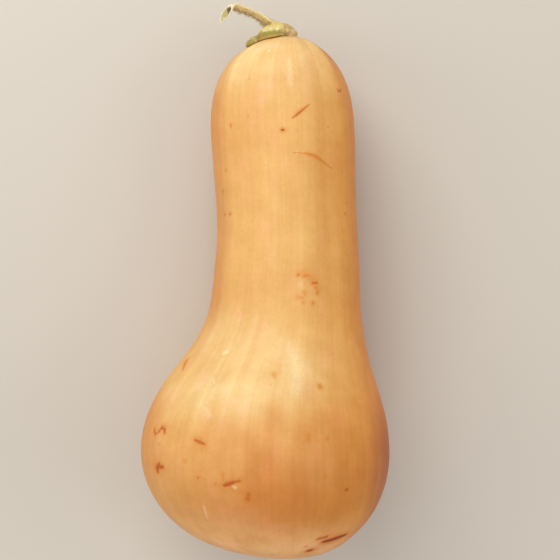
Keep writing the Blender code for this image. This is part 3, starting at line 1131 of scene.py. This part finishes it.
def splined(sections, count, measure):
    """More sections between the given ones, on a spline, and the sections' own numbers."""
    table = np.array(sections, float)
    steps = np.linalg.norm(np.diff(measure(table), axis=0), axis=1)
    along = np.concatenate(((0,), np.cumsum(steps)))
    numbers = np.linspace(0, len(table) - 1, count)
    return smooth_through(along, table, np.interp(numbers, range(len(table)), along)), numbers


def shaft_middles(table):
    """The middles of the shaft's sections."""
    return np.column_stack(((table[:, 0:2] + table[:, 2:4]) / 2, table[:, 4]))


def foot_profile(table):
    """Lift and half width of the foot's sections."""
    return np.column_stack((table[:, 0], table[:, 3]))


def stem_rings(seat):
    """The stem's rings with their wayposts: the section numbers, counted from the foot up."""
    feet, foot_numbers = splined(FOOT_SECTIONS, FOOT_RINGS, foot_profile)
    shafts, shaft_numbers = splined(SHAFT_SECTIONS, SHAFT_RINGS, shaft_middles)
    rings = [foot_ring(seat, section) for section in feet]
    rings += [shaft_ring(seat, section) for section in shafts]
    rings += [shaft_ring(seat, SHAFT_SECTIONS[-1], inside, sink) for inside, sink in CUT_FLOOR]
    first_shaft = len(FOOT_SECTIONS)
    first_floor = first_shaft + len(SHAFT_SECTIONS)
    numbers = list(foot_numbers)
    numbers += [first_shaft + number for number in shaft_numbers]
    numbers += [first_floor + number for number in range(len(CUT_FLOOR))]
    return rings, numbers


def smooth_step(value, low, high):
    """The value's place between low and high, eased, from 0 to 1."""
    share = min(1.0, max(0.0, (value - low) / (high - low)))
    return share * share * (3 - 2 * share)


def bell(offset, width):
    """1 at no offset, falling smoothly to 0 on both sides."""
    return math.exp(-((offset / width) ** 2))


def stalk_relief(turn_left, turn_up, number, point, fibre_depth):
    """How deep the stem's surface is carved at a point: fibres, lumps, folds and tears."""
    foot_end = len(FOOT_SECTIONS) - 1.0
    cut = len(FOOT_SECTIONS) + len(SHAFT_SECTIONS) - 1.0
    on_shaft = smooth_step(number, foot_end + 3, foot_end + 7)
    on_cut = smooth_step(number, cut - 0.3, cut + 0.8)
    turn = Vector((turn_left, turn_up, 0))
    fibres, fine = (
        abs(noise.noise(turn * around + UPWARD * number * along))
        for around, along in (FIBRES, FINE_FIBRES)
    )
    lumps = noise.noise(point / LUMP_SIZE)
    pits = noise.noise(point / PIT_SIZE)
    depth = fibre_depth * (0.55 * fibres + 0.35 * fine) * (0.35 + 0.65 * on_shaft)
    depth += PIT_DEPTH * pits * on_shaft
    rough_side = on_shaft * smooth_step(turn_left, -0.3, 0.7) * (1 - on_cut)
    depth -= ROUGH_HEIGHT * rough_side * (0.25 + lumps + 0.5 * pits)
    fold = bell(number - foot_end - FOLD_SECTION, FOLD_WIDTH) * smooth_step(-turn_left, 0.1, 0.8)
    depth += FOLD_DEPTH * fold
    valley = bell(point.x - VALLEY_X, VALLEY_WIDTH)
    on_foot = 1 - smooth_step(number, foot_end - 0.5, foot_end + 1.5)
    depth += VALLEY_DEPTH * valley * on_foot * smooth_step(number, 2.0, 4.0)
    return depth * (1 - on_cut)


def carved(bm, fibre_depth):
    """Sinks the stem's surface by its relief."""
    grain = bm.verts.layers.float_vector["grain"]
    bm.normal_update()
    moves = [
        vert.normal * stalk_relief(*vert[grain], vert.co, fibre_depth) for vert in bm.verts
    ]
    for vert, move in zip(bm.verts, moves):
        vert.co -= move


def frayed(bm):
    """Tears the rim of the cut into short uneven points along its own direction."""
    grain = bm.verts.layers.float_vector["grain"]
    cut = len(FOOT_SECTIONS) + len(SHAFT_SECTIONS) - 1.0
    for vert in bm.verts:
        turn_left, turn_up, number = vert[grain]
        at_rim = bell(number - cut - RIM_SECTION, RIM_WIDTH)
        turn = Vector((turn_left, turn_up, 0))
        tear = noise.noise(turn * 3.0) + 0.6 * noise.noise(turn * 9.0)
        vert.co += FRAY_WAY * FRAY_LENGTH * at_rim * tear


def stem_finish(settings):
    """Dry woody stalk: olive toes, painted cream highlights on the knob's crest, straw shaft, pale
    torn rim.
    """
    f = Finish("dry_stem", 0.72)
    place = f.position()
    x = f.split(place)[0]
    grain = f.layer("grain")
    turn_left, _, number = f.split(grain)
    fibres = f.noise(f.stretched(grain, 1, 1, 0.035), 9.0, 3.0, 0.65)
    patches = f.noise(place, 0.28, 3.0, 0.6)
    crumbs = f.noise(place, 1.4, 4.0, 0.7)
    level = f.sum(number, f.swing(patches, 2.2))

    colour = foot_and_knob(f, settings, level, f.sum(x, f.swing(patches, 4.0)), patches, crumbs)
    colour = shaft_bark(f, settings, level, number, turn_left, crumbs, colour)
    colour = torn_end(f, number, turn_left, crumbs, colour)

    # Fibres show as light and dark, but hardly on the smooth knob.
    relief = f.sum(f.times(fibres, 0.6), f.times(crumbs, 0.4))
    tone = f.between(relief, 0.38, 0.62, 0.58, 1.28)
    tone = f.node("CombineColor", {0: tone, 1: tone, 2: tone})
    fibrous = f.between(f.most(level, f.sum(x, 1.0)), 10.0, 12.5, 0.25, 1.0)
    f.feed(f.shader.inputs["Base Color"], f.mix(fibrous, colour, tone, "MULTIPLY"))
    f.feed(f.shader.inputs["Roughness"], f.between(number, 6.0, 12.0, 0.42, 0.78))
    f.feed(f.shader.inputs["Normal"], f.bumped(relief, STEM_RELIEF, 0.9))
    return f.material


def foot_and_knob(f, settings, level, wavy_x, patches, crumbs):
    """From the seam up: bark edge, golden foot, olive band, yellow-green knob; the bark edge and
    the grooves are partly painted shade, and the knob's crest has painted highlights.

    Levels are numbers of the stem's sections, counted from the seam.
    """
    olive = settings.olive_colour
    cream = settings.cream_and_glint_colour
    bark = settings.bark_and_crease_shade_colour
    knob = settings.knob_colour
    toe = f.mix(f.between(patches, 0.44, 0.74), olive, knob)
    foot = f.mix(f.between(wavy_x, -3.0, -5.0), settings.golden_colour, toe)
    # Partly painted shade: bark brown where the foot meets the fruit.
    colour = f.mix(f.between(level, 1.6, 3.4), bark, foot)
    olive_band = f.times(f.between(level, 5.2, 6.6), f.between(wavy_x, -4.5, -1.5))
    colour = f.mix(olive_band, colour, olive)
    colour = f.mix(f.between(level, 8.1, 9.3), colour, knob)
    # Painted highlights: cream glints along the knob's crest.
    knob_highlight = f.times(f.between(level, 8.5, 9.2), f.between(patches, 0.46, 0.60, 0.0, 0.8))
    colour = f.mix(f.times(knob_highlight, f.between(level, 10.8, 9.4)), colour, cream)
    lump = f.times(f.between(wavy_x, 7.0, 12.2), f.between(level, 2.4, 4.0))
    colour = f.mix(lump, colour, f.mix(crumbs, DARK_LUMP, PALE_LUMP))
    # Painted shade: a darker line in the crease between the knob and the right lump.
    colour = f.mix(f.times(f.band(wavy_x, 9.4, 10.6, 10.9, 12.2), 0.28), colour, bark)
    # Painted shade: darker brown along the groove between the left toe and the foot.
    valley = f.times(f.band(wavy_x, -5.4, -4.2, -3.8, -2.6), f.between(level, 8.6, 7.0))
    return f.mix(f.times(valley, 0.6), colour, bark)


def shaft_bark(f, settings, level, number, turn_left, crumbs, colour):
    """Straw wood with browned bark on the lower side, pale specks and a pale upper edge."""
    cream = settings.cream_and_glint_colour
    colour = f.mix(f.between(level, 11.4, 13.2), colour, settings.wood_colour)
    under_side = f.times(f.between(turn_left, -0.1, 0.85), f.between(number, 11.0, 14.0))
    browned = f.times(under_side, f.between(crumbs, 0.56, 0.36, 0.0, 0.62))
    colour = f.mix(browned, colour, settings.bark_and_crease_shade_colour)
    on_shaft = f.between(number, 12.0, 14.0)
    specks = f.times(f.between(crumbs, 0.56, 0.66), on_shaft)
    colour = f.mix(f.times(specks, 0.7), colour, cream)
    top_edge = f.times(f.between(turn_left, -0.15, -0.75), on_shaft)
    return f.mix(f.times(top_edge, 0.85), colour, cream)


def torn_end(f, number, turn_left, crumbs, colour):
    """A bright rim round a yellow-green hollow, with near-black painted shade of a hole at its
    upper end.
    """
    floor = float(len(FOOT_SECTIONS) + len(SHAFT_SECTIONS))
    colour = f.mix(f.between(number, floor - 1.7, floor - 0.9), colour, TORN_RIM)
    hollow = f.between(f.sum(number, f.times(crumbs, 0.8)), floor + 1.2, floor + 2.0)
    colour = f.mix(hollow, colour, f.mix(crumbs, DARK_HOLLOW, PALE_HOLLOW))
    # Painted shade: near black where the hole is, at the hollow's upper end.
    hole_shade = f.times(
        f.between(number, floor + 1.6, floor + 2.4), f.between(turn_left, -0.62, -0.90)
    )
    return f.mix(f.times(hole_shade, 0.88), colour, DARK_HOLE_SHADE)


def bristle_finish(settings):
    """Straw bristles, some of them browned."""
    f = Finish("bristle", 0.75)
    shade = f.noise(f.position(), 1.6, 2.0, 0.6)
    straw = f.mix(0.55, settings.wood_colour, settings.cream_and_glint_colour)
    colour = f.mix(f.between(shade, 0.50, 0.32, 0.0, 0.6), straw, settings.bark_and_crease_shade_colour)
    f.feed(f.shader.inputs["Base Color"], colour)
    return f.material


def floor_finish(settings):
    """Plain pale floor."""
    f = Finish("floor", FLOOR_ROUGHNESS)
    f.feed(f.shader.inputs["Base Color"], settings.floor_colour)
    return f.material


def bristle(bm, root, tip, thickness):
    """A three-sided spike from root to tip."""
    made = bmesh.ops.create_cone(
        bm,
        cap_ends=True,
        segments=3,
        radius1=thickness,
        radius2=thickness * HAIR_TIP_SHARE,
        depth=1.0,
    )["verts"]
    run = tip - root
    bmesh.ops.scale(bm, verts=made, vec=(1, 1, run.length))
    bmesh.ops.rotate(bm, verts=made, matrix=run.to_track_quat("Z", "Y").to_matrix())
    bmesh.ops.translate(bm, verts=made, vec=(root + tip) / 2)


class SQUASH_OT_rind_skin(bpy.types.Operator):
    """Lay the fine, scarred rind over the fruit's solid"""

    bl_idname = "squash.rind_skin"
    bl_label = "Rind"

    def execute(self, context):
        settings = context.scene.squash_fruit
        inset = POLE_RING_SHARE / SKIN_RINGS
        shares = np.linspace(inset, 1 - inset, SKIN_RINGS)
        rings = [
            lambda angle, share=share, around=around: skin_point(
                share, around, angle, settings.swell
            )
            for share, around in zip(shares, fruit_rounds(shares))
        ]
        poles = fruit_rounds((0.0, 1.0))
        bm = lofted(
            SKIN_SIDES,
            rings,
            shares,
            first_tip=skin_point(0.0, poles[0], 0.0),
            last_tip=skin_point(1.0, poles[1], 0.0),
        )
        fitted(bm, *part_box("fruit"))
        surface = surface_of(bm)
        brown = cast_strokes(surface, BROWN_STROKES, seen_at)
        brown += cast_strokes(surface, HIDDEN_BROWN_STROKES, skin_at)
        rust = cast_strokes(surface, RUST_STROKES, seen_at)
        rust += cast_strokes(surface, HIDDEN_RUST_STROKES, skin_at)
        pale = cast_strokes(surface, FLECK_AND_HIGHLIGHT_STROKES, seen_at)
        refined(bm, brown + rust + pale)
        marked(bm, brown, rust, pale)
        piece("rind_skin", bm, rind_finish(settings), "fruit")
        return {"FINISHED"}


class SQUASH_OT_dry_stem(bpy.types.Operator):
    """Build the dry stem with its toes, knob, fibrous shaft and torn end"""

    bl_idname = "squash.dry_stem"
    bl_label = "Stem"

    def execute(self, context):
        settings = context.scene.squash_stem
        rind = bpy.data.objects["rind_skin"].data
        skin = BVHTree.FromPolygons(
            [vert.co for vert in rind.vertices], [poly.vertices for poly in rind.polygons]
        )
        seat = Seat(skin)
        rings, numbers = stem_rings(seat)
        bm = lofted(STEM_SIDES, rings, numbers, first_tip=seat.laid(seat.point, SEAT_GAP))
        carved(bm, settings.fibre_depth)
        frayed(bm)
        piece("dry_stem", bm, stem_finish(settings), "stem")
        return {"FINISHED"}


class SQUASH_OT_stem_bristles(bpy.types.Operator):
    """Set short stiff bristles along the rough lower side of the stem's shaft"""

    bl_idname = "squash.stem_bristles"
    bl_label = "Bristles"

    def execute(self, context):
        settings = context.scene.squash_stem
        stem = bpy.data.objects["dry_stem"].data
        grain = stem.attributes["grain"].data
        chance = random.Random(HAIR_SEED)
        first, last = (len(FOOT_SECTIONS) + section for section in HAIR_ZONE)
        spots = [
            vert
            for vert, mark in zip(stem.vertices, grain)
            if mark.vector[0] > 0.0 and first < mark.vector[2] < last
        ]
        bm = bmesh.new()
        for vert in chance.sample(spots, settings.hair_count):
            lean = Vector([chance.uniform(-HAIR_LEAN, HAIR_LEAN) for _ in range(3)])
            way = (vert.normal + lean).normalized()
            length = settings.hair_length * chance.uniform(SHORTEST_HAIR, 1.0) ** 2
            root = vert.co - way * HAIR_ROOT_DEPTH
            bristle(bm, root, vert.co + way * length, HAIR_RADIUS)
        piece("stem_bristles", bm, bristle_finish(settings))
        return {"FINISHED"}


class SQUASH_OT_stage(bpy.types.Operator):
    """Set the pale floor, the soft light and the camera above the squash"""

    bl_idname = "squash.stage"
    bl_label = "Floor, light and camera"

    def execute(self, context):
        settings = context.scene.squash_stage
        scene = context.scene
        scene.view_settings.view_transform = "Standard"

        bm = bmesh.new()
        bmesh.ops.create_grid(bm, x_segments=1, y_segments=1, size=settings.floor_side / 2)
        mesh = bpy.data.meshes.new("floor")
        bm.to_mesh(mesh)
        bm.free()
        mesh.materials.append(floor_finish(settings))
        floor = bpy.data.objects.new("floor", mesh)
        scene.collection.objects.link(floor)

        world = bpy.data.worlds.new("room")
        world.use_nodes = True
        sky = world.node_tree.nodes["Background"].inputs
        sky["Color"].default_value = SKY_COLOUR
        sky["Strength"].default_value = settings.sky_strength
        scene.world = world

        for name, place, side, share in LAMPS:
            lamp = bpy.data.lights.new(name, "AREA")
            lamp.size = side
            lamp.energy = settings.key_power * share
            lamp.color = LAMP_COLOUR
            holder = bpy.data.objects.new(name, lamp)
            holder.location = place
            aim = LAMP_AIM - holder.location
            holder.rotation_euler = aim.to_track_quat("-Z", "Y").to_euler()
            holder.visible_camera = False
            scene.collection.objects.link(holder)

        view = bpy.data.cameras.new("camera")
        view.lens = LENS
        view.sensor_width = SENSOR
        view.clip_start = NEAREST_SEEN
        camera = bpy.data.objects.new("camera", view)
        camera.location = CAMERA_PLACE
        scene.collection.objects.link(camera)
        scene.camera = camera
        return {"FINISHED"}


class SQUASH_PT_panel(bpy.types.Panel):
    """Lists the squash's pieces and settings"""

    bl_label = "Butternut Squash"
    bl_idname = "SQUASH_PT_panel"
    bl_space_type = "VIEW_3D"
    bl_region_type = "UI"
    bl_category = "Squash"

    def draw(self, context):
        for group, operators in (
            ("squash_fruit", ("squash.rind_skin",)),
            ("squash_stem", ("squash.dry_stem", "squash.stem_bristles")),
            ("squash_stage", ("squash.stage",)),
        ):
            column = self.layout.box().column()
            settings = getattr(context.scene, group)
            for name in settings.__annotations__:
                column.prop(settings, name)
            for operator in operators:
                column.operator(operator)


CLASSES = (
    SquashFruitSettings,
    SquashStemSettings,
    SquashStageSettings,
    SQUASH_OT_rind_skin,
    SQUASH_OT_dry_stem,
    SQUASH_OT_stem_bristles,
    SQUASH_OT_stage,
    SQUASH_PT_panel,
)


def register():
    for cls in CLASSES:
        bpy.utils.register_class(cls)
    bpy.types.Scene.squash_fruit = PointerProperty(type=SquashFruitSettings)
    bpy.types.Scene.squash_stem = PointerProperty(type=SquashStemSettings)
    bpy.types.Scene.squash_stage = PointerProperty(type=SquashStageSettings)


def unregister():
    del bpy.types.Scene.squash_stage
    del bpy.types.Scene.squash_stem
    del bpy.types.Scene.squash_fruit
    for cls in reversed(CLASSES):
        bpy.utils.unregister_class(cls)


def main():
    register()
    bpy.ops.squash.rind_skin()
    bpy.ops.squash.dry_stem()
    bpy.ops.squash.stem_bristles()
    bpy.ops.squash.stage()


if __name__ == "__main__":
    main()
